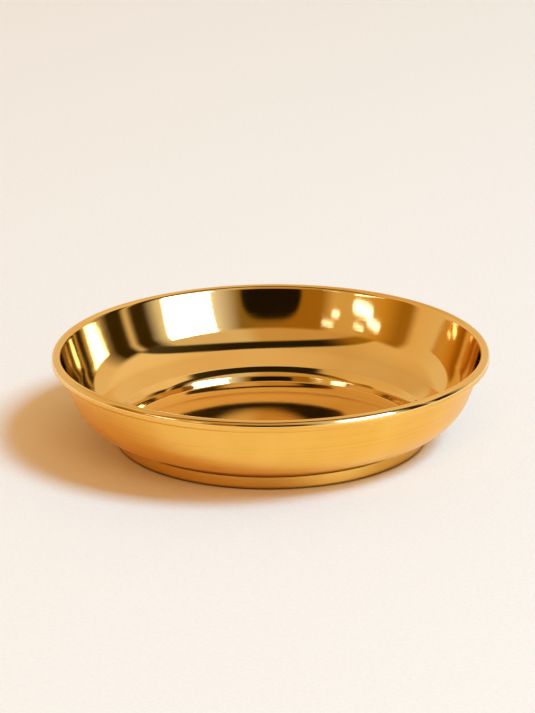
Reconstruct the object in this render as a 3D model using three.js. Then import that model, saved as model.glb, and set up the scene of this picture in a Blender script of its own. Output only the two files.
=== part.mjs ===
// A footed brass pooja plate in four pieces: a dish spun from sheet, with a dropped well and a rim that
// is rolled outwards round a wire, a foot ring under the well's shoulder, and the solder that holds it.
// Millimetres, +Z up. The origin is on the ground, on the plate's axis.
import * as THREE from 'three';

// Driving dimensions: the dish, from the rim inwards and down
const RIM_DIAMETER = 178; // over the rolled rim
const SHEET = 1.2; // thickness of the spun sheet
const WALL_RISE = 18.9; // wall's foot to the middle of the rolled rim
const WALL_LEAN = 20.4; // degrees from upright
const WALL_CURVE = 20.8; // inside radius between the wall and the belly
const BELLY_RISE = 4.6; // ledge to the wall's foot
const BELLY_SLOPE = 40.5; // degrees from level
const BELLY_CURVE = 9; // inside radius between the belly and the ledge
const LEDGE_WIDTH = 8.4; // gently sloping ring round the well
const LEDGE_SLOPE = 22; // degrees from level
const SHOULDER_CURVE = 2.5; // radius of the ledge's inner edge
const SHOULDER_DROP = 3.45; // sloping upper part of the well's side
const SHOULDER_SLOPE = 46; // degrees from level
const WELL_CURVE = 8; // radius between the sloping and the steep part of the well's side
const WELL_DROP = 2.65; // steep lower part of the well's side
const WELL_LEAN = 20; // degrees from upright
const FLOOR_CURVE = 1; // inside radius at the edge of the well's floor
const FLOOR_LIFT = 0.4; // ground to the underside of the well

// Driving dimensions: the rolled rim and its wire
const WIRE_DIAMETER = 1.2;
const WIRE_GAP = 0.2; // wire to the roll, each side
const ROLL_STRETCH = 0.9; // how much taller than wide the roll is
const NECK_STEP = 0.3; // how far the roll stands in from the wall's inner face
const SEAM_GAP = 0.3; // edge of the rolled sheet to the wall

// Driving dimensions: the foot ring and its solder
const FOOT_WALL = 1.6; // thickness of the foot ring
const FOOT_INSET = 0.8; // how far the foot ring stands in from the ledge's inner edge
const FOOT_CHAMFER = 0.3; // broken edges of the foot ring's bottom
const SOLDER_DEPTH = 1.2; // how far the solder runs down between the well and the foot ring
const JOINT_GAP = 0.3; // between the dish, the foot ring and the solder

// Fineness of the faceted surfaces
const TURN_SEGMENTS = 64;
const ARC_STEP = THREE.MathUtils.degToRad(14);
const ROLL_STEPS = 16;
const BORE_STEPS = 9;
const WIRE_SIDES = 8;

const rad = THREE.MathUtils.degToRad;

// Sections are drawn in the plane of radius (x) and height (y)

// Step from one corner of an outline to the next, sloping by an angle from level
function along(start, run, slope) {
  return new THREE.Vector2(start.x + run, start.y + run * Math.tan(rad(slope)));
}

// Outline of the dish's inner face as bare corners with the radius that rounds each one
function dishCorners() {
  const floorTop = FLOOR_LIFT + SHEET;
  const wellRun = WELL_DROP * Math.tan(rad(WELL_LEAN));
  const shoulderRun = SHOULDER_DROP / Math.tan(rad(SHOULDER_SLOPE));
  const bellyRun = BELLY_RISE / Math.tan(rad(BELLY_SLOPE));
  const wallRun = WALL_RISE * Math.tan(rad(WALL_LEAN));
  const rollWidth = WIRE_DIAMETER + 2 * WIRE_GAP + 2 * SHEET;
  const wallTopRadius = RIM_DIAMETER / 2 - rollWidth + NECK_STEP;
  const floorRadius = wallTopRadius - wallRun - bellyRun - LEDGE_WIDTH - shoulderRun - wellRun;

  const floorEdge = new THREE.Vector2(floorRadius, floorTop);
  const wellBreak = along(floorEdge, wellRun, 90 - WELL_LEAN);
  const ledgeEdge = along(wellBreak, shoulderRun, SHOULDER_SLOPE);
  const bellyFoot = along(ledgeEdge, LEDGE_WIDTH, LEDGE_SLOPE);
  const wallFoot = along(bellyFoot, bellyRun, BELLY_SLOPE);
  const wallTop = along(wallFoot, wallRun, 90 - WALL_LEAN);
  return [
    { at: new THREE.Vector2(0, floorTop), curve: 0 },
    { at: floorEdge, curve: FLOOR_CURVE },
    { at: wellBreak, curve: WELL_CURVE },
    { at: ledgeEdge, curve: SHOULDER_CURVE },
    { at: bellyFoot, curve: BELLY_CURVE },
    { at: wallFoot, curve: WALL_CURVE },
    { at: wallTop, curve: 0 },
  ];
}

// Unit vector square to the stretch from a to b, on its lower and outer side
function outward(a, b) {
  const step = b.clone().sub(a).normalize();
  return new THREE.Vector2(step.y, -step.x);
}

// Whether an outline turns inwards and up at a corner, so that its round is centred on the inner side
function turnsIn(before, corner, after) {
  return corner.clone().sub(before).cross(after.clone().sub(corner)) > 0;
}

// The same outline, moved square to itself by a distance towards the outer side
function offsetCorners(corners, distance) {
  return corners.map(({ at, curve }, i) => {
    const before = corners[i - 1]?.at;
    const after = corners[i + 1]?.at;
    if (!before || !after) {
      const normal = before ? outward(before, at) : outward(at, after);
      return { at: at.clone().addScaledVector(normal, distance), curve: 0 };
    }
    const first = outward(before, at);
    const second = outward(at, after);
    const reach = distance / (1 + first.dot(second));
    const moved = at.clone().addScaledVector(first.add(second), reach);
    return { at: moved, curve: turnsIn(before, at, after) ? curve + distance : curve - distance };
  });
}

// Points of an outline with its corners rounded
function roundedOutline(corners) {
  const points = [];
  corners.forEach(({ at, curve }, i) => {
    const before = corners[i - 1]?.at;
    const after = corners[i + 1]?.at;
    if (!before || !after || curve <= 0) {
      points.push(at);
      return;
    }
    const side = turnsIn(before, at, after) ? 1 : -1;
    const first = outward(before, at).multiplyScalar(side);
    const second = outward(at, after).multiplyScalar(side);
    const turn = Math.acos(first.dot(second));
    const middle = first.clone().add(second).normalize();
    const centre = at.clone().addScaledVector(middle, -curve / Math.cos(turn / 2));
    const round = new THREE.EllipseCurve(
      centre.x, centre.y, curve, curve, first.angle(), second.angle(), side < 0);
    points.push(...round.getPoints(Math.max(2, Math.round(turn / ARC_STEP))));
  });
  return points;
}

// Stretch of an outline between two radii, with its ends cut exactly at them
function between(points, innerRadius, outerRadius) {
  const inside = points.filter((p) => p.x > innerRadius && p.x < outerRadius);
  return [pointAt(points, innerRadius), ...inside, pointAt(points, outerRadius)];
}

function pointAt(points, radius) {
  const next = points.findIndex((p) => p.x >= radius);
  const a = points[next - 1];
  const b = points[next];
  return a.clone().lerp(b, (radius - a.x) / (b.x - a.x));
}

// Where the line from a point in a direction meets an oval, as angles round it: lower one first
function ovalCrossings(oval, point, direction) {
  const p = point.clone().sub(oval.centre).divide(oval.half);
  const d = direction.clone().divide(oval.half);
  const a = d.lengthSq();
  const b = p.dot(d);
  const root = Math.sqrt(b * b - a * (p.lengthSq() - 1));
  return [(-b - root) / a, (-b + root) / a].map((s) => p.clone().addScaledVector(d, s).angle());
}

function ovalArc(oval, from, to, clockwise, steps) {
  const { centre, half } = oval;
  return new THREE.EllipseCurve(centre.x, centre.y, half.x, half.y, from, to, clockwise).getPoints(steps);
}

// The dish's whole section, from the axis below the floor, round the rolled rim, to the axis above it
function dishSection(corners, roll, bore) {
  const outerCorners = offsetCorners(corners, SHEET);
  const inner = roundedOutline(corners);
  const outer = roundedOutline(outerCorners);
  const wallTop = inner.pop();
  const outerTop = outer.pop();
  const wallUp = wallTop.clone().sub(corners.at(-2).at).normalize();
  const seam = outerTop.clone().addScaledVector(outward(new THREE.Vector2(), wallUp), SEAM_GAP);

  const [boreStart] = ovalCrossings(bore, outerTop, wallUp);
  const [boreEnd] = ovalCrossings(bore, seam, wallUp);
  const [rollStart] = ovalCrossings(roll, seam, wallUp);
  const [neck] = ovalCrossings(roll, wallTop, wallUp);
  return [
    ...outer,
    ...ovalArc(bore, boreStart, boreEnd, true, BORE_STEPS),
    ...ovalArc(roll, rollStart, neck, false, ROLL_STEPS),
    ...inner.reverse(),
  ];
}

// Section of the foot ring, cut on top to the underside that it is soldered to
function footSection(seat, innerRadius, outerRadius) {
  return [
    new THREE.Vector2(innerRadius, FOOT_CHAMFER),
    new THREE.Vector2(innerRadius + FOOT_CHAMFER, 0),
    new THREE.Vector2(outerRadius - FOOT_CHAMFER, 0),
    new THREE.Vector2(outerRadius, FOOT_CHAMFER),
    ...between(seat, innerRadius, outerRadius).reverse(),
  ];
}

// Section of the solder, in the wedge between the well and the foot ring's inner face
function solderSection(seat, footInnerRadius) {
  const outerRadius = footInnerRadius - JOINT_GAP;
  const top = pointAt(seat, outerRadius);
  const bottom = top.y - SOLDER_DEPTH;
  const next = seat.findIndex((p) => p.y >= bottom);
  const a = seat[next - 1];
  const b = seat[next];
  const innerRadius = a.clone().lerp(b, (bottom - a.y) / (b.y - a.y)).x;
  return [
    new THREE.Vector2(outerRadius, bottom),
    ...between(seat, innerRadius, outerRadius).reverse(),
  ];
}

function brass(color, roughness) {
  return new THREE.MeshStandardMaterial({ color, roughness, metalness: 1 });
}

// A section that starts and ends on the axis is turned as it is, any other is closed on itself
function turned(name, section, material) {
  const onAxis = section[0].x === 0;
  const outline = onAxis ? section : [...section, section[0].clone()];
  const geometry = new THREE.LatheGeometry(outline, TURN_SEGMENTS).rotateX(Math.PI / 2);
  const mesh = new THREE.Mesh(geometry, material);
  mesh.name = name;
  return mesh;
}

const corners = dishCorners();
const wallTop = corners.at(-1).at;
const boreHalf = new THREE.Vector2(WIRE_DIAMETER / 2 + WIRE_GAP, WIRE_DIAMETER / 2 + WIRE_GAP);
boreHalf.y += ROLL_STRETCH / 2;
const rollHalf = boreHalf.clone().addScalar(SHEET);
const rimCentre = new THREE.Vector2(RIM_DIAMETER / 2 - rollHalf.x, wallTop.y);
const roll = { centre: rimCentre, half: rollHalf };
const bore = { centre: rimCentre, half: boreHalf };

const seat = roundedOutline(offsetCorners(corners, SHEET + JOINT_GAP));
const ledgeEdgeRadius = corners[3].at.x;
const footOuterRadius = ledgeEdgeRadius - FOOT_INSET;
const footInnerRadius = footOuterRadius - FOOT_WALL;

const wireRadius = WIRE_DIAMETER / 2;
const wireSection = new THREE.EllipseCurve(rimCentre.x, rimCentre.y, wireRadius, wireRadius)
  .getPoints(WIRE_SIDES)
  .slice(0, -1);

const poojaPlate = new THREE.Group();
poojaPlate.name = 'pooja_plate';
poojaPlate.add(
  turned('dish', dishSection(corners, roll, bore), brass(0xd9a04a, 0.08)),
  turned('rim_wire', wireSection, brass(0xb8863b, 0.4)),
  turned('foot_ring', footSection(seat, footInnerRadius, footOuterRadius), brass(0xc98f3c, 0.35)),
  turned('solder_seam', solderSection(seat, footInnerRadius), brass(0xb9a27a, 0.5)),
);

export default poojaPlate;
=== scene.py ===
import math

import bpy
from mathutils import Matrix, Vector


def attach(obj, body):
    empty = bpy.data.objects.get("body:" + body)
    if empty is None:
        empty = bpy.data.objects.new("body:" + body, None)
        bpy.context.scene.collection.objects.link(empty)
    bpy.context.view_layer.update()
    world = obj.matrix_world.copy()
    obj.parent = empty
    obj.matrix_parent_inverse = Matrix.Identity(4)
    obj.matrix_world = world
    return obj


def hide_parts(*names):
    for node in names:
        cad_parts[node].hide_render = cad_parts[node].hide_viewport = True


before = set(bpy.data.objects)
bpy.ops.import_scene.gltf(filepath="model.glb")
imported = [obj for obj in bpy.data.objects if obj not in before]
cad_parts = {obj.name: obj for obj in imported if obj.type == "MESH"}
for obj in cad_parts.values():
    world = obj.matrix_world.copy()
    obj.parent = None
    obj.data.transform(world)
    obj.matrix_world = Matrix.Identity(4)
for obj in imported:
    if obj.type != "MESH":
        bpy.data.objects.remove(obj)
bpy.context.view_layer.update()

MM = 0.001

# The dish, in millimetres and degrees, from the rim inwards and down
RIM_DIAMETER = 178
SHEET = 1.2
WALL_RISE = 18.9
WALL_LEAN = 20.4
WALL_BOW = 150
WALL_CURVE = 20.8
BELLY_RISE = 4.6
BELLY_SLOPE = 40.5
BELLY_CURVE = 9
LEDGE_WIDTH = 8.9
LEDGE_SLOPE = 22
SHOULDER_CURVE = 2
SHOULDER_DROP = 2.8
SHOULDER_SLOPE = 46
WELL_CURVE = 6
WELL_DROP = 3.1
WELL_LEAN = 19
FLOOR_CURVE = 0.5
FLOOR_LIFT = 0.4

# The rolled rim and its wire
WIRE_DIAMETER = 1.2
WIRE_GAP = 0.2
ROLL_STRETCH = 0.9
NECK_STEP = 0.3
SEAM_GAP = 0.3

# The foot ring and its solder
FOOT_WALL = 1.6
FOOT_INSET = 0.3
FOOT_CHAMFER = 0.3
SOLDER_DEPTH = 1.2
SOLDER_SAG = Vector((0.05, 0.22))
SOLDER_LUMP_SIZE = 6
SOLDER_LUMP_HEIGHT = 0.16
JOINT_GAP = 0.3

# Fineness of the turned pieces
TURN_STEPS = 256
BEND_STEP = math.radians(2)
WALL_STEPS = 20
ROLL_STEPS = 56
WIRE_SKIP = 9
EDGE_MARGIN = 0.12
EDGE_SHARE = 0.3
WELD_DISTANCE = 0.002
NECK_HALVINGS = 40
SMALL_ANGLE = 0.001

# Angles between neighbouring faces up to which each piece is shaded smooth
DISH_SMOOTH = math.radians(14)
FOOT_SMOOTH = math.radians(32)
HIDDEN_SMOOTH = math.radians(60)

# The satin stretch of the roll, as angles round it from the outermost point
SATIN_FROM = math.radians(8)
SATIN_TO = math.radians(-135)
ROLL_MARGIN = 0.1
WALL_CLEARANCE = 0.5


# Drawing a section as a chain of points in the plane of radius and height, then turning it

def begin_section(name, radius, height):
    bpy.ops.object.select_all(action="DESELECT")
    bpy.ops.mesh.primitive_plane_add(size=MM, location=(radius * MM, 0, height * MM))
    piece = bpy.context.object
    piece.name = name
    bpy.ops.object.transform_apply(location=True, rotation=True, scale=True)
    bpy.ops.object.mode_set(mode="EDIT")
    bpy.ops.mesh.select_mode(type="VERT")
    bpy.ops.mesh.select_all(action="SELECT")
    bpy.ops.mesh.merge(type="CENTER")
    return piece


def draw_step(along, up):
    bpy.ops.mesh.extrude_region_move(
        TRANSFORM_OT_translate={"value": (along * MM, 0, up * MM)})


def draw_line(start, end):
    """A straight stretch with a short step at each end, so that the shading stays flat between them."""
    run = end - start
    margin = min(EDGE_MARGIN / run.length, EDGE_SHARE)
    for share in (margin, 1 - 2 * margin, margin):
        draw_step(run.x * share, run.y * share)


def draw_points(points):
    for a, b in zip(points, points[1:]):
        draw_step(b.x - a.x, b.y - a.y)


def turn_section(piece):
    bpy.ops.mesh.select_all(action="SELECT")
    bpy.ops.mesh.spin(steps=TURN_STEPS, angle=math.tau, center=(0, 0, 0), axis=(0, 0, 1))
    bpy.ops.mesh.select_all(action="SELECT")
    bpy.ops.mesh.remove_doubles(threshold=WELD_DISTANCE * MM)
    bpy.ops.mesh.normals_make_consistent(inside=False)
    bpy.ops.object.mode_set(mode="OBJECT")
    return piece


def apply_modifier(piece, name, kind, **settings):
    modifier = piece.modifiers.new(name, kind)
    for key, value in settings.items():
        setattr(modifier, key, value)
    bpy.ops.object.modifier_apply(modifier=modifier.name)


def arc_points(centre, radius, start, turn):
    steps = max(2, round(abs(turn) / BEND_STEP))
    return [centre + radius * Vector((math.cos(start + turn * i / steps),
                                      math.sin(start + turn * i / steps)))
            for i in range(steps + 1)]


def rounded_corner(before, corner, after, radius):
    """Points of the round between two straight stretches."""
    into = (corner - before).normalized()
    away = (after - corner).normalized()
    turn = math.atan2(into.x * away.y - into.y * away.x, into.dot(away))
    side = math.copysign(1, turn)
    left = Vector((-into.y, into.x)) * side
    start = corner - into * radius * math.tan(abs(turn) / 2)
    centre = start + left * radius
    return arc_points(centre, radius, math.atan2(-left.y, -left.x), turn)


def step_along(start, run, slope):
    return start + Vector((run, run * math.tan(math.radians(slope))))


# The dish's inner face, floor to rim

ROLL_HALF = Vector((WIRE_DIAMETER / 2 + WIRE_GAP + SHEET,
                    WIRE_DIAMETER / 2 + WIRE_GAP + SHEET + ROLL_STRETCH / 2))


def dish_corners():
    floor_top = FLOOR_LIFT + SHEET
    well_run = WELL_DROP * math.tan(math.radians(WELL_LEAN))
    shoulder_run = SHOULDER_DROP / math.tan(math.radians(SHOULDER_SLOPE))
    belly_run = BELLY_RISE / math.tan(math.radians(BELLY_SLOPE))
    wall_run = WALL_RISE * math.tan(math.radians(WALL_LEAN))
    wall_top_radius = RIM_DIAMETER / 2 - 2 * ROLL_HALF.x + NECK_STEP
    floor_radius = wall_top_radius - wall_run - belly_run - LEDGE_WIDTH - shoulder_run - well_run

    floor_edge = Vector((floor_radius, floor_top))
    well_break = step_along(floor_edge, well_run, 90 - WELL_LEAN)
    ledge_edge = step_along(well_break, shoulder_run, SHOULDER_SLOPE)
    belly_foot = step_along(ledge_edge, LEDGE_WIDTH, LEDGE_SLOPE)
    wall_foot = step_along(belly_foot, belly_run, BELLY_SLOPE)
    wall_top = step_along(wall_foot, wall_run, 90 - WALL_LEAN)
    return [Vector((0, floor_top)), floor_edge, well_break, ledge_edge,
            belly_foot, wall_foot, wall_top]


CORNERS = dish_corners()
CURVES = [FLOOR_CURVE, WELL_CURVE, SHOULDER_CURVE, BELLY_CURVE, WALL_CURVE]
LEDGE_EDGE = CORNERS[3]
WALL_TOP = CORNERS[-1]
WALL_UP = (CORNERS[-1] - CORNERS[-2]).normalized()
ROLL_CENTRE = Vector((RIM_DIAMETER / 2 - ROLL_HALF.x, WALL_TOP.y))


def roll_angle(point, direction):
    """Angle round the roll at which a line from below first meets it."""
    p = Vector(((point.x - ROLL_CENTRE.x) / ROLL_HALF.x,
                (point.y - ROLL_CENTRE.y) / ROLL_HALF.y))
    d = Vector((direction.x / ROLL_HALF.x, direction.y / ROLL_HALF.y))
    half = p.dot(d) / d.dot(d)
    root = math.sqrt(half * half - (p.dot(p) - 1) / d.dot(d))
    meet = p + d * (-half - root)
    return math.atan2(meet.y, meet.x)


def roll_point(angle):
    return ROLL_CENTRE + Vector((ROLL_HALF.x * math.cos(angle), ROLL_HALF.y * math.sin(angle)))


def offset_corners(distance):
    """The inner face's corners moved square to it, towards the outside."""
    moved = []
    for i, corner in enumerate(CORNERS[1:-1], start=1):
        into = (corner - CORNERS[i - 1]).normalized()
        away = (CORNERS[i + 1] - corner).normalized()
        first = Vector((into.y, -into.x))
        second = Vector((away.y, -away.x))
        moved.append(corner + (first + second) * distance / (1 + first.dot(second)))
    return [CORNERS[0] - Vector((0, distance)), *moved]


def underside_points(distance):
    """Points of the underside from the well to the belly, at a distance from the inner face."""
    corners = offset_corners(distance)
    points = [corners[0]]
    for i, curve in enumerate(CURVES[:-1], start=1):
        into = corners[i] - corners[i - 1]
        away = corners[i + 1] - corners[i]
        grows = into.x * away.y - into.y * away.x > 0
        radius = curve + distance if grows else curve - distance
        points += rounded_corner(corners[i - 1], corners[i], corners[i + 1], radius)
    return points


def point_at_radius(points, radius):
    for a, b in zip(points, points[1:]):
        if a.x <= radius <= b.x and b.x > a.x:
            return a.lerp(b, (radius - a.x) / (b.x - a.x))


def wall_points(start, end):
    """The wall from the belly's round to the roll, bowed a little like any spun wall."""
    chord = end - start
    half_turn = math.asin(chord.length / 2 / WALL_BOW)
    square = Vector((-chord.y, chord.x)).normalized()
    centre = (start + end) / 2 + square * WALL_BOW * math.cos(half_turn)
    first = start - centre
    angle = math.atan2(first.y, first.x)
    return [centre + WALL_BOW * Vector((math.cos(angle + 2 * half_turn * i / WALL_STEPS),
                                        math.sin(angle + 2 * half_turn * i / WALL_STEPS)))
            for i in range(WALL_STEPS + 1)]


def smooth_neck(start):
    """Angle round the roll at which the bowed wall runs into it with no crease."""
    low = math.pi / 2
    high = math.pi
    for _ in range(NECK_HALVINGS):
        angle = (low + high) / 2
        wall = wall_points(start, roll_point(angle))
        up = wall[-1] - wall[-2]
        over = roll_point(angle - SMALL_ANGLE) - roll_point(angle)
        if up.x * over.y - up.y * over.x < 0:
            low = angle
        else:
            high = angle
    return high


def spun_dish():
    """One sheet, drawn along the face that shows, from the floor's middle to the roll's tucked edge."""
    dish = begin_section("dish_spun", 0, CORNERS[0].y)
    at = CORNERS[0]
    for i, curve in enumerate(CURVES, start=1):
        bend = rounded_corner(CORNERS[i - 1], CORNERS[i], CORNERS[i + 1], curve)
        draw_line(at, bend[0])
        draw_points(bend)
        at = bend[-1]

    neck = smooth_neck(at)
    outside = Vector((WALL_UP.y, -WALL_UP.x))
    tuck = roll_angle(WALL_TOP + outside * (SHEET + SEAM_GAP), WALL_UP)
    draw_points(wall_points(at, roll_point(neck)))
    draw_points([roll_point(neck + (tuck - neck) * i / ROLL_STEPS) for i in range(ROLL_STEPS + 1)])
    turn_section(dish)

    floor_face = min(dish.data.polygons, key=lambda f: f.center.z)
    if floor_face.normal.z < 0:
        bpy.ops.object.mode_set(mode="EDIT")
        bpy.ops.mesh.flip_normals()
        bpy.ops.object.mode_set(mode="OBJECT")
    return dish


def select_faces(piece, wanted):
    bpy.ops.object.mode_set(mode="EDIT")
    bpy.ops.mesh.select_mode(type="FACE")
    bpy.ops.mesh.select_all(action="DESELECT")
    bpy.ops.object.mode_set(mode="OBJECT")
    for face in piece.data.polygons:
        face.select = wanted(face.center)
    bpy.ops.object.mode_set(mode="EDIT")


def on_satin_roll(centre):
    radius = math.hypot(centre.x, centre.y) / MM
    height = centre.z / MM
    angle = math.atan2((height - ROLL_CENTRE.y) / ROLL_HALF.y,
                       (radius - ROLL_CENTRE.x) / ROLL_HALF.x)
    above_neck = height > ROLL_CENTRE.y - ROLL_HALF.y - ROLL_MARGIN
    outside_wall = radius > WALL_TOP.x + WALL_CLEARANCE
    return above_neck and outside_wall and SATIN_TO < angle < SATIN_FROM


def turned_foot():
    outer = LEDGE_EDGE.x - FOOT_INSET
    inner = outer - FOOT_WALL
    seat = underside_points(SHEET + JOINT_GAP)
    inner_top = point_at_radius(seat, inner)
    outer_top = point_at_radius(seat, outer)
    top = [p for p in seat if inner < p.x < outer]
    outline = [Vector((inner, FOOT_CHAMFER)), Vector((inner + FOOT_CHAMFER, 0)),
               Vector((outer - FOOT_CHAMFER, 0)), Vector((outer, FOOT_CHAMFER)),
               outer_top, *reversed(top), inner_top]
    foot = begin_section("foot_ring_turned", outline[0].x, outline[0].y)
    for a, b in zip(outline, [*outline[1:], outline[0]]):
        draw_line(a, b)
    return turn_section(foot)


def solder_fillet():
    """The solder between the well and the foot ring, sagging a little and uneven, as it set."""
    foot_inner = LEDGE_EDGE.x - FOOT_INSET - FOOT_WALL
    seat = underside_points(SHEET + JOINT_GAP)
    outer = foot_inner - JOINT_GAP
    top = point_at_radius(seat, outer)
    bottom = top.y - SOLDER_DEPTH
    inner_points = [p for p in seat if p.x < outer and bottom < p.y < top.y]
    lowest = inner_points[0]
    middle = Vector((outer, bottom)).lerp(lowest, 0.5) + SOLDER_SAG
    outline = [Vector((outer, bottom)), top, *reversed(inner_points), middle]
    solder = begin_section("solder_fillet", outline[0].x, outline[0].y)
    draw_points([*outline, outline[0]])
    turn_section(solder)
    lumps = bpy.data.textures.new("solder_lumps", "CLOUDS")
    lumps.noise_scale = SOLDER_LUMP_SIZE * MM
    apply_modifier(solder, "lumps", "DISPLACE", texture=lumps, texture_coords="LOCAL",
                   strength=SOLDER_LUMP_HEIGHT * MM, mid_level=0.5)
    return solder


def drawn_wire():
    radius = WIRE_DIAMETER / 2
    wire = begin_section("rim_wire_drawn", ROLL_CENTRE.x + radius, ROLL_CENTRE.y)
    draw_points(arc_points(ROLL_CENTRE, radius, 0, math.tau)[::WIRE_SKIP])
    return turn_section(wire)


# Node helpers for the finishes

class Nodes:
    def __init__(self, tree):
        self.tree = tree
        tree.nodes.clear()

    def add(self, kind, **settings):
        node = self.tree.nodes.new(kind)
        for key, value in settings.items():
            setattr(node, key, value)
        return node

    def feed(self, socket, source):
        if isinstance(source, bpy.types.NodeSocket):
            self.tree.links.new(source, socket)
        else:
            socket.default_value = source

    def math(self, operation, *sources):
        node = self.add("ShaderNodeMath", operation=operation)
        for socket, source in zip(node.inputs, sources):
            self.feed(socket, source)
        return node.outputs[0]

    def length(self, x, y):
        return self.math("SQRT", self.math("ADD", self.math("MULTIPLY", x, x),
                                           self.math("MULTIPLY", y, y)))

    def span(self, value, low, high, to_low=0.0, to_high=1.0, smooth=True):
        """A value's place between two limits, as a share that can be mapped to a range."""
        kind = "SMOOTHSTEP" if smooth else "LINEAR"
        node = self.add("ShaderNodeMapRange", interpolation_type=kind)
        for socket, source in zip(node.inputs, (value, low, high, to_low, to_high)):
            self.feed(socket, source)
        return node.outputs[0]

    def mix(self, share, first, second):
        node = self.add("ShaderNodeMix", data_type="RGBA")
        self.feed(node.inputs["Factor"], share)
        self.feed(node.inputs["A"], first)
        self.feed(node.inputs["B"], second)
        return node.outputs["Result"]

    def noise(self, scale, detail=2.0, vector=None, w=None, **settings):
        node = self.add("ShaderNodeTexNoise", **settings)
        node.inputs["Scale"].default_value = scale
        node.inputs["Detail"].default_value = detail
        if vector is not None:
            self.feed(node.inputs["Vector"], vector)
        if w is not None:
            self.feed(node.inputs["W"], w)
        return node.outputs["Fac"]

    def bump(self, height, strength, distance, normal=None):
        node = self.add("ShaderNodeBump")
        node.inputs["Strength"].default_value = strength
        node.inputs["Distance"].default_value = distance
        self.feed(node.inputs["Height"], height)
        if normal is not None:
            self.feed(node.inputs["Normal"], normal)
        return node.outputs["Normal"]

    def place(self):
        """Object coordinates: the vector, the radius from the axis and the height."""
        coordinates = self.add("ShaderNodeTexCoord").outputs["Object"]
        parts = self.add("ShaderNodeSeparateXYZ")
        self.feed(parts.inputs[0], coordinates)
        x, y, z = parts.outputs
        return coordinates, self.length(x, y), z

    def shader(self, **values):
        node = self.add("ShaderNodeBsdfPrincipled")
        for name, source in values.items():
            self.feed(node.inputs[name.replace("_", " ")], source)
        output = self.add("ShaderNodeOutputMaterial")
        self.tree.links.new(node.outputs[0], output.inputs[0])


def new_material(name):
    material = bpy.data.materials.new(name)
    material.use_nodes = True
    return material, Nodes(material.node_tree)


BRASS_BRIGHT = (0.92, 0.70, 0.34, 1)
BRASS_WARM = (0.90, 0.66, 0.30, 1)
SATIN_BRIGHT = (1.0, 0.58, 0.115, 1)
SATIN_WARM = (0.96, 0.52, 0.085, 1)
SATIN_STREAK = (0.74, 0.38, 0.05, 1)
# Dark brass: painted shade in the dish's seam and on the foot, and random tarnish on the wire
BRASS_TARNISH_AND_SHADE = (0.16, 0.07, 0.015, 1)
SOLDER_LIGHT = (0.46, 0.40, 0.28, 1)
SOLDER_DULL = (0.24, 0.19, 0.12, 1)
PAPER_DARK = (0.845, 0.805, 0.775, 1)
PAPER_LIGHT = (0.875, 0.835, 0.805, 1)

# Painted shade: the seam under the roll lies between these heights and radii, in metres
SEAM_LOW = 0.0312
SEAM_HIGH = 0.0326
SEAM_OUTER = 0.0874
SEAM_INNER = 0.0866
SEAM_SHADE = 0.61

# Painted shade on the foot ring: its general share, and the heights between which its bottom edge darkens
# as a painted contact shadow
FOOT_SHADE = 0.215
FOOT_UNSHADED_HEIGHT = 0.0014
FOOT_DARK_HEIGHT = 0.0001


def polished_brass():
    material, n = new_material("brass_polished_inside")
    place, radius, height = n.place()
    tone = n.span(n.noise(38, 3, place), 0.35, 0.7)
    colour = n.mix(tone, BRASS_BRIGHT, BRASS_WARM)
    along = n.math("ADD", radius, n.math("MULTIPLY", height, 1.7))
    rings = n.noise(2600, 3, w=along, noise_dimensions="1D")
    smears = n.noise(60, 4, place)
    roughness = n.math("ADD", n.span(smears, 0.3, 0.75, 0.035, 0.07),
                       n.math("MULTIPLY", rings, 0.02))
    ring_bump = n.bump(rings, 0.03, 0.0001)
    hand_bump = n.bump(n.noise(16, 1, place), 0.06, 0.002, ring_bump)
    n.shader(Base_Color=colour, Metallic=1.0, Roughness=roughness, Normal=hand_bump)
    return material


def satin_brass(name, painted_shade):
    """Brass left from the turning tool: fine rings all round, and painted shade where the given mask
    darkens it.
    """
    material, n = new_material(name)
    place, radius, height = n.place()
    along = n.math("ADD", radius, n.math("MULTIPLY", height, 1.9))
    rings = n.noise(1500, 5, w=along, noise_dimensions="1D")
    broad = n.noise(420, 4, w=along, noise_dimensions="1D")
    cloud = n.noise(26, 4, place)
    colour = n.mix(n.span(cloud, 0.35, 0.7), SATIN_BRIGHT, SATIN_WARM)
    streaks = n.math("MULTIPLY", n.span(broad, 0.4, 0.8), n.span(cloud, 0.4, 0.62, 0.04, 0.36))
    colour = n.mix(streaks, colour, SATIN_STREAK)
    # Painted shade: the caller's mask darkens the colour towards the dark brass
    colour = n.mix(painted_shade(n, radius, height), colour, BRASS_TARNISH_AND_SHADE)
    roughness = n.math("ADD", n.span(rings, 0.3, 0.7, 0.24, 0.34),
                       n.math("MULTIPLY", cloud, 0.08))
    normal = n.bump(n.math("ADD", rings, n.math("MULTIPLY", broad, 0.6)), 0.12, 0.0002)
    tangent = n.add("ShaderNodeTangent", direction_type="RADIAL", axis="Z").outputs[0]
    n.shader(Base_Color=colour, Metallic=1.0, Roughness=roughness, Normal=normal, Tangent=tangent,
             Anisotropic=0.55, Anisotropic_Rotation=0.25)
    return material


def dish_seam_shade(n, radius, height):
    """Painted shade in the seam under the roll, where the rolled edge comes back to the wall."""
    above = n.span(height, SEAM_LOW, SEAM_HIGH)
    inside = n.span(radius, SEAM_OUTER, SEAM_INNER)
    return n.math("MULTIPLY", n.math("MULTIPLY", above, inside), SEAM_SHADE)


def foot_painted_shade(n, radius, height):
    """Painted shade: darker all over, and fully dark along the bottom edge as a painted contact shadow.
    """
    return n.span(height, FOOT_UNSHADED_HEIGHT, FOOT_DARK_HEIGHT, FOOT_SHADE, 1.0)


def wire_brass():
    material, n = new_material("brass_drawn_wire")
    place, _, _ = n.place()
    colour = n.mix(n.noise(220, 3, place), SATIN_WARM, BRASS_TARNISH_AND_SHADE)
    roughness = n.span(n.noise(900, 2, place), 0.3, 0.7, 0.35, 0.5)
    n.shader(Base_Color=colour, Metallic=1.0, Roughness=roughness)
    return material


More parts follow.
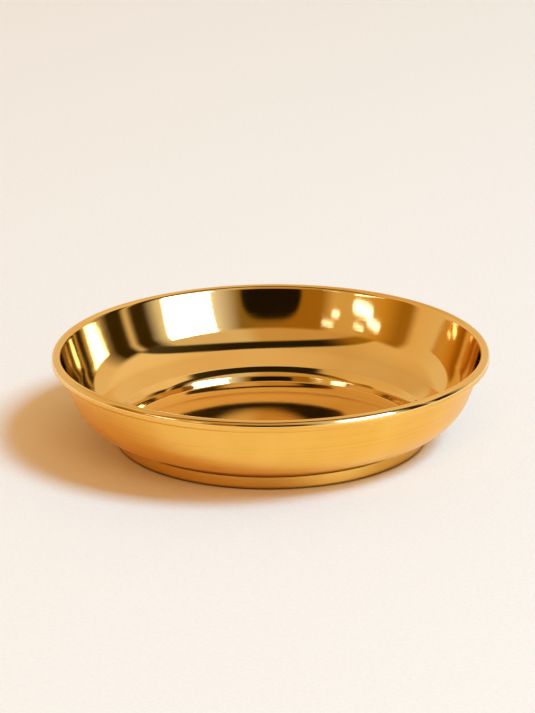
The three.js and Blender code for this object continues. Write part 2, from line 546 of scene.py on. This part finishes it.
def set_solder():
    material, n = new_material("solder_set")
    place, _, _ = n.place()
    grain = n.noise(700, 4, place)
    colour = n.mix(n.span(grain, 0.3, 0.7), SOLDER_LIGHT, SOLDER_DULL)
    roughness = n.span(grain, 0.3, 0.7, 0.4, 0.62)
    bump = n.bump(grain, 0.4, 0.0002)
    n.shader(Base_Color=colour, Metallic=1.0, Roughness=roughness, Normal=bump)
    return material


def floor_paper():
    material, n = new_material("pale_floor")
    place, _, _ = n.place()
    fibre = n.noise(650, 4, place)
    colour = n.mix(n.span(fibre, 0.3, 0.7), PAPER_DARK, PAPER_LIGHT)
    n.shader(Base_Color=colour, Roughness=0.9, Normal=n.bump(fibre, 0.25, 0.0004))
    return material


# The pieces

dish = spun_dish()
dish.data.materials.append(polished_brass())
dish.data.materials.append(satin_brass("brass_satin_outside", dish_seam_shade))
select_faces(dish, on_satin_roll)
dish.active_material_index = 1
bpy.ops.object.material_slot_assign()
bpy.ops.object.mode_set(mode="OBJECT")
apply_modifier(dish, "sheet", "SOLIDIFY", thickness=SHEET * MM, offset=-1, use_even_offset=True,
               use_rim=True, material_offset=1, material_offset_rim=1)
bpy.ops.object.shade_smooth_by_angle(angle=DISH_SMOOTH)

foot = turned_foot()
foot.data.materials.append(satin_brass("brass_satin_foot", foot_painted_shade))
bpy.ops.object.shade_smooth_by_angle(angle=FOOT_SMOOTH)

solder = solder_fillet()
solder.data.materials.append(set_solder())
bpy.ops.object.shade_smooth_by_angle(angle=HIDDEN_SMOOTH)

wire = drawn_wire()
wire.data.materials.append(wire_brass())
bpy.ops.object.shade_smooth_by_angle(angle=HIDDEN_SMOOTH)

for piece, node, slot in ((dish, "dish", "polished_brass"), (foot, "foot_ring", "satin_brass"),
                          (solder, "solder_seam", "solder"), (wire, "rim_wire", "wire_brass")):
    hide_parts(node)
    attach(piece, "root")


# The stage

STAGE_SIZE = 12
STAGE_DROP = 0.0001

bpy.ops.object.select_all(action="DESELECT")
bpy.ops.mesh.primitive_plane_add(size=STAGE_SIZE, location=(0, 0, -STAGE_DROP))
floor = bpy.context.object
floor.name = "pale_floor"
bpy.ops.object.transform_apply(location=True, rotation=True, scale=True)
floor.data.materials.append(floor_paper())


# Light: a key and a fill for the floor, a soft box that the brass alone mirrors, and a painted room

def direction_to(azimuth, elevation):
    """Unit vector: azimuth from the camera's side, positive to the right; elevation above level."""
    a = math.radians(azimuth)
    e = math.radians(elevation)
    return Vector((math.sin(a) * math.cos(e), -math.cos(a) * math.cos(e), math.sin(e)))


def soft_box(name, azimuth, elevation, distance, width, height, watts, colour):
    data = bpy.data.lights.new(name, "AREA")
    data.shape = "RECTANGLE"
    data.size = width
    data.size_y = height
    data.energy = watts
    data.color = colour
    lamp = bpy.data.objects.new(name, data)
    bpy.context.scene.collection.objects.link(lamp)
    towards = direction_to(azimuth, elevation)
    lamp.location = towards * distance
    lamp.rotation_mode = "QUATERNION"
    lamp.rotation_quaternion = towards.to_track_quat("Z", "Y")
    return lamp


key = soft_box("side_key", azimuth=66, elevation=53, distance=5.0, width=1.6, height=1.6,
               watts=262, colour=(0.41, 0.74, 1.0))
fill = soft_box("warm_front_fill", azimuth=4, elevation=50, distance=5.0, width=3.0, height=3.0,
                watts=52, colour=(1.0, 0.42, 0.10))
key.visible_glossy = False
fill.visible_glossy = False
mirrored = soft_box("right_soft_box", azimuth=50, elevation=19, distance=3.0, width=1.52, height=1.32,
                    watts=55, colour=(0.56, 0.72, 1.0))
mirrored.visible_diffuse = False


PANEL_POWER = 3.0
PANEL_EDGE = 1.15
PANEL_FULL = 0.8


def panel(n, azimuth, from_top, centre_azimuth, centre_from_top, half_width, half_height):
    """One inside a part of the room with round corners, nought outside, with a soft edge."""
    wide = n.math("DIVIDE", n.math("SUBTRACT", azimuth, centre_azimuth), half_width)
    tall = n.math("DIVIDE", n.math("SUBTRACT", from_top, centre_from_top), half_height)
    reach = n.math("ADD", n.math("POWER", n.math("ABSOLUTE", wide), PANEL_POWER),
                   n.math("POWER", n.math("ABSOLUTE", tall), PANEL_POWER))
    return n.span(reach, PANEL_EDGE, PANEL_FULL)


# The room near eye level: its tones, and the azimuths between which they blend
ROOM_PALE = (0.83, 0.58, 0.30, 1)
ROOM_OCHRE = (0.80, 0.50, 0.19, 1)
ROOM_AMBER = (0.69, 0.42, 0.13, 1)
ROOM_RUST = (0.64, 0.30, 0.03, 1)
ROOM_UMBER = (0.36, 0.15, 0.01, 1)
ROOM_BROWN = (0.26, 0.14, 0.02, 1)
ROOM_WHITE = (1.0, 0.92, 0.84, 1)
ROOM_CREAM = (0.80, 0.70, 0.50, 1)
ROOM_DARK = (0.04, 0.02, 0.0, 1)
ROOM_ROUND = (
    (-130, ROOM_PALE),
    (-92, ROOM_OCHRE),
    (-86, ROOM_UMBER),
    (-80, ROOM_UMBER),
    (-67, ROOM_RUST),
    (-52, ROOM_AMBER),
    (-37, ROOM_AMBER),
    (-30, ROOM_UMBER),
    (-13, ROOM_UMBER),
    (18, ROOM_BROWN),
    (35, ROOM_WHITE),
    (67, ROOM_CREAM),
    (76, ROOM_DARK),
    (85, ROOM_DARK),
    (89, ROOM_PALE),
    (93, ROOM_DARK),
    (103, ROOM_DARK),
    (120, ROOM_PALE),
)

# Lamps across the room: azimuth, degrees from the zenith, half width, half height
ROOM_LAMPS = (
    (-55, 75.2, 6.5, 2.0),
    (-63.5, 72.9, 4.6, 1.1),
    (-39, 71.0, 2.3, 0.7),
    (-35, 67.7, 3.8, 0.4),
    (-54.5, 70.0, 3.6, 0.4),
)
LAMP_WHITE = (3.2, 3.0, 3.0, 1)

# The ceiling, from left to right
CEILING_LEFT = (0.82, 0.51, 0.20, 1)
CEILING_NEAR_LEFT = (0.70, 0.44, 0.18, 1)
CEILING_MIDDLE = (0.80, 0.53, 0.25, 1)
CEILING_RIGHT = (0.92, 0.66, 0.36, 1)

# The walls between the ceiling and eye level
ROOM_WALL_FRONT = (0.63, 0.36, 0.12, 1)
ROOM_WALL_FRONT_RIGHT = (0.76, 0.56, 0.32, 1)
ROOM_WALL_LEFT = (0.55, 0.28, 0.06, 1)
ROOM_WALL_RIGHT = (0.10, 0.07, 0.03, 1)
ROOM_WALL_BEHIND = (0.80, 0.53, 0.25, 1)

# The dark band across the ceiling in front: its tones, and its edges in degrees forward of the zenith
BAND_MIDDLE = (0.02, 0.013, 0.005, 1)
BAND_RIGHT = (0.07, 0.05, 0.02, 1)
BAND_LEFT = (0.36, 0.16, 0.012, 1)
BAND_TOP = 9.0
BAND_TOP_TILT = -0.2
BAND_BOTTOM = 27.5
BAND_BOTTOM_TILT = -0.1
BAND_BOTTOM_BEND = 0.0035

# The dark place where the camera stands: azimuth, degrees from the zenith, half width, half height
CAMERA_PLACE = (-0.5, 76, 17.5, 9.8)
CAMERA_DARK = (0.012, 0.007, 0.002, 1)


def room_angles(n):
    """Azimuth, degrees from the zenith, and the latter's parts to the right and towards the camera."""
    parts = n.add("ShaderNodeSeparateXYZ")
    n.feed(parts.inputs[0], n.add("ShaderNodeTexCoord").outputs["Generated"])
    x, y, z = parts.outputs
    front = n.math("MULTIPLY", y, -1.0)
    azimuth = n.math("MULTIPLY", n.math("ARCTAN2", x, front), math.degrees(1))
    from_top = n.math("MULTIPLY", n.math("ARCCOSINE", z), math.degrees(1))
    level = n.math("MAXIMUM", n.length(x, y), 1e-5)
    across = n.math("MULTIPLY", from_top, n.math("DIVIDE", x, level))
    forward = n.math("MULTIPLY", from_top, n.math("DIVIDE", front, level))
    return azimuth, from_top, across, forward


def ceiling_tone(n, across):
    tone = n.mix(n.span(across, -60, -20), CEILING_LEFT, CEILING_NEAR_LEFT)
    tone = n.mix(n.span(across, -20, 2), tone, CEILING_MIDDLE)
    return n.mix(n.span(across, 2, 45), tone, CEILING_RIGHT)


def wall_tone(n, azimuth):
    tone = n.mix(n.span(azimuth, 4, 24), ROOM_WALL_FRONT, ROOM_WALL_FRONT_RIGHT)
    tone = n.mix(n.span(azimuth, -48, -66), tone, ROOM_WALL_LEFT)
    tone = n.mix(n.span(azimuth, 66, 78), tone, ROOM_WALL_RIGHT)
    return n.mix(n.span(n.math("ABSOLUTE", azimuth), 104, 122), tone, ROOM_WALL_BEHIND)


def eye_level_tone(n, azimuth, from_top):
    ramp = n.add("ShaderNodeValToRGB")
    n.feed(ramp.inputs[0], n.span(azimuth, -180, 180, smooth=False))
    stops = ramp.color_ramp.elements
    stops.remove(stops[1])
    for i, (angle, colour) in enumerate(ROOM_ROUND):
        position = (angle + 180) / 360
        stop = stops[0] if i == 0 else stops.new(position)
        stop.position = position
        stop.color = colour
    tone = ramp.outputs["Color"]
    for lamp in ROOM_LAMPS:
        tone = n.mix(panel(n, azimuth, from_top, *lamp), tone, LAMP_WHITE)
    return tone


def band_tone(n, across):
    tone = n.mix(n.span(across, 10, 60), BAND_MIDDLE, BAND_RIGHT)
    return n.mix(n.span(across, -22, -46), tone, BAND_LEFT)


def band_edges(n, across, forward):
    """How far below the band's top edge and below its bottom edge a direction lies, as shares."""
    bend = n.math("MULTIPLY", n.math("MULTIPLY", across, across), BAND_BOTTOM_BEND)
    right_bend = n.math("MULTIPLY", bend, n.math("GREATER_THAN", across, 0.0))
    top = n.math("ADD", n.math("MULTIPLY", across, BAND_TOP_TILT), BAND_TOP)
    bottom = n.math("ADD", n.math("MULTIPLY", across, BAND_BOTTOM_TILT), BAND_BOTTOM)
    bottom = n.math("SUBTRACT", bottom, right_bend)
    below_top = n.span(n.math("SUBTRACT", forward, top), -2.0, 2.0)
    below_bottom = n.span(n.math("SUBTRACT", forward, bottom), -2.0, 3.0)
    return below_top, below_bottom


def paint_room():
    world = bpy.data.worlds.new("studio_room")
    bpy.context.scene.world = world
    world.use_nodes = True
    n = Nodes(world.node_tree)
    azimuth, from_top, across, forward = room_angles(n)
    below_top, below_bottom = band_edges(n, across, forward)
    colour = n.mix(below_top, ceiling_tone(n, across), band_tone(n, across))
    colour = n.mix(below_bottom, colour, wall_tone(n, azimuth))
    colour = n.mix(n.span(from_top, 56, 64), colour, eye_level_tone(n, azimuth, from_top))
    colour = n.mix(panel(n, azimuth, from_top, *CAMERA_PLACE), colour, CAMERA_DARK)
    background = n.add("ShaderNodeBackground")
    n.feed(background.inputs["Color"], colour)
    background.inputs["Strength"].default_value = 1.0
    output = n.add("ShaderNodeOutputWorld")
    world.node_tree.links.new(background.outputs[0], output.inputs[0])


paint_room()


# The camera, at the photograph's angle

CAMERA_DISTANCE = 1.2
CAMERA_ELEVATION = math.radians(20.147)
CAMERA_ROLL = math.radians(-0.471)
CAMERA_YAW = math.radians(-0.0609)
CAMERA_PITCH = math.radians(1.5073)
CAMERA_LENS = 147.59
CAMERA_SENSOR = 36


def place_camera():
    data = bpy.data.cameras.new("camera")
    data.lens = CAMERA_LENS
    data.sensor_width = CAMERA_SENSOR
    camera = bpy.data.objects.new("camera", data)
    bpy.context.scene.collection.objects.link(camera)
    bpy.context.scene.camera = camera
    place = direction_to(0, math.degrees(CAMERA_ELEVATION)) * CAMERA_DISTANCE
    ahead = -place.normalized()
    right = Vector((1, 0, 0))
    ahead = (ahead + right * CAMERA_YAW + right.cross(ahead) * CAMERA_PITCH).normalized()
    right = ahead.cross(Vector((0, 0, 1))).normalized()
    up = right.cross(ahead)
    turned_right = right * math.cos(CAMERA_ROLL) + up * math.sin(CAMERA_ROLL)
    turned_up = up * math.cos(CAMERA_ROLL) - right * math.sin(CAMERA_ROLL)
    axes = Matrix((turned_right, turned_up, -ahead)).transposed()
    camera.matrix_world = Matrix.Translation(place) @ axes.to_4x4()


place_camera()

bpy.context.scene.view_settings.view_transform = "Standard"

bpy.context.view_layer.update()
